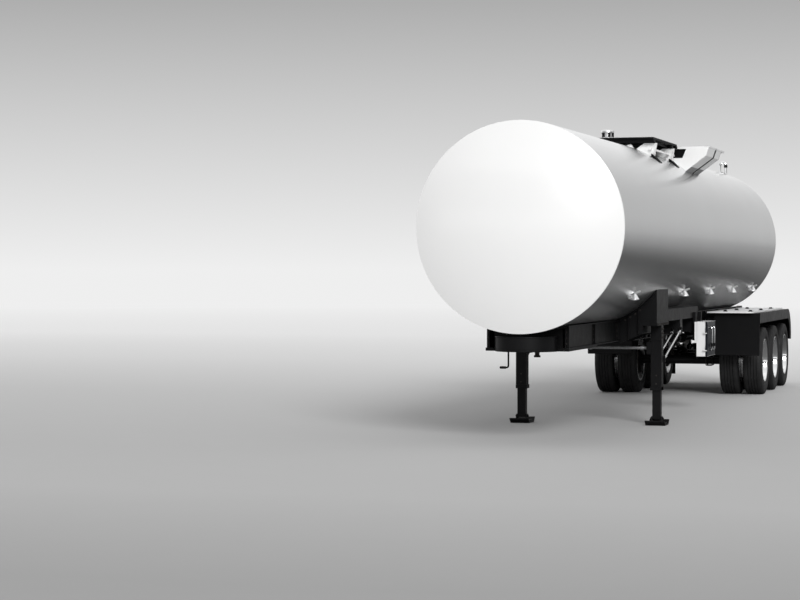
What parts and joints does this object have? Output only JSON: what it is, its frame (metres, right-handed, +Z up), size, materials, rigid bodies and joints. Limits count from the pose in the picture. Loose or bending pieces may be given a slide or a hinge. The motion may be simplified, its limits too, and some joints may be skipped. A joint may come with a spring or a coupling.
{
  "type": "tanker semi-trailer",
  "caption": "Long round-tank semi-trailer with dished heads, dual-wheel axles at the rear, fenders, walkway, hinged manhole lid and landing legs.",
  "frame": {"origin": "on the ground, midway along the overall length and on the centre plane", "axes": "+X forward towards the kingpin end, +Y to the left, +Z up"},
  "size_m": [14.0906, 2.58, 3.642],
  "materials": {
    "tank_aluminium": "satin polished sheet",
    "chassis_black": "satin black paint",
    "fender_black": "semi-gloss black paint",
    "door_black": "satin black paint",
    "bright_plate": "bright plate",
    "white_paint": "white paint",
    "chrome": "polished",
    "tyre_rubber": "matt",
    "flap_rubber": "matt",
    "galvanised": "dull galvanised",
    "grey_paint": "light grey paint"
  },
  "bodies": {
    "trailer": {"tank_barrel": "tank_aluminium", "tank_front_head": "white_paint", "tank_rear_head": "white_paint", "front_frame": "chassis_black", "upper_coupler": "chassis_black", "landing_gear_bolster": "chassis_black", "leg_housing_left": "chassis_black", "leg_housing_right": "chassis_black", "leg_foot_left": "chassis_black", "leg_foot_right": "chassis_black", "landing_gear_shaft": "galvanised", "rear_frame": "chassis_black", "side_rail_left": "chassis_black", "side_rail_right": "chassis_black", "leg_brace_left": "chrome", "leg_brace_right": "chrome", "axle_front": "chassis_black", "axle_middle": "chassis_black", "axle_rear": "chassis_black", "suspension_left": "chassis_black", "suspension_right": "chassis_black", "fender_left": "fender_black", "fender_right": "fender_black", "deck_plate_left": "bright_plate", "deck_plate_right": "bright_plate", "mud_flap_left": "flap_rubber", "mud_flap_right": "flap_rubber", "walkway_platform": "grey_paint", "spill_box": "grey_paint", "manhole_neck": "bright_plate", "relief_vent": "bright_plate", "breather_pipe": "chrome", "cabinet_body": "white_paint", "side_ladder": "galvanised", "rear_bumper": "chassis_black", "rear_lamp_panel": "galvanised", "discharge_line": "chassis_black"},
    "front_left_wheels": {"wheel_front_left": "chrome", "tyre_front_left_outer": "tyre_rubber", "tyre_front_left_inner": "tyre_rubber"},
    "front_right_wheels": {"wheel_front_right": "chrome", "tyre_front_right_outer": "tyre_rubber", "tyre_front_right_inner": "tyre_rubber"},
    "middle_left_wheels": {"wheel_middle_left": "chrome", "tyre_middle_left_outer": "tyre_rubber", "tyre_middle_left_inner": "tyre_rubber"},
    "middle_right_wheels": {"wheel_middle_right": "chrome", "tyre_middle_right_outer": "tyre_rubber", "tyre_middle_right_inner": "tyre_rubber"},
    "rear_left_wheels": {"wheel_rear_left": "chrome", "tyre_rear_left_outer": "tyre_rubber", "tyre_rear_left_inner": "tyre_rubber"},
    "rear_right_wheels": {"wheel_rear_right": "chrome", "tyre_rear_right_outer": "tyre_rubber", "tyre_rear_right_inner": "tyre_rubber"},
    "lid": {"manhole_lid": "bright_plate"},
    "door": {"cabinet_door": "door_black"}
  },
  "joints": [
    {"name": "front_left_spin", "type": "hinge", "parent": "trailer", "child": "front_left_wheels", "pos_m": [-3.765, 0.945, 0.505], "axis": [0, 1, 0], "continuous": true},
    {"name": "front_right_spin", "type": "hinge", "parent": "trailer", "child": "front_right_wheels", "pos_m": [-3.765, -0.945, 0.505], "axis": [0, 1, 0], "continuous": true},
    {"name": "middle_left_spin", "type": "hinge", "parent": "trailer", "child": "middle_left_wheels", "pos_m": [-5, 0.945, 0.505], "axis": [0, 1, 0], "continuous": true},
    {"name": "middle_right_spin", "type": "hinge", "parent": "trailer", "child": "middle_right_wheels", "pos_m": [-5, -0.945, 0.505], "axis": [0, 1, 0], "continuous": true},
    {"name": "rear_left_spin", "type": "hinge", "parent": "trailer", "child": "rear_left_wheels", "pos_m": [-6.235, 0.945, 0.505], "axis": [0, 1, 0], "continuous": true},
    {"name": "rear_right_spin", "type": "hinge", "parent": "trailer", "child": "rear_right_wheels", "pos_m": [-6.235, -0.945, 0.505], "axis": [0, 1, 0], "continuous": true},
    {"name": "lid_hinge", "type": "hinge", "parent": "trailer", "child": "lid", "pos_m": [-0.35, 0, 3.56], "axis": [0, -1, 0], "range_deg": [0, 110]},
    {"name": "door_hinge", "type": "hinge", "parent": "trailer", "child": "door", "pos_m": [0.968, 1.091, 0.971], "axis": [0, 0, -1], "range_deg": [0, 110]}
  ]
}
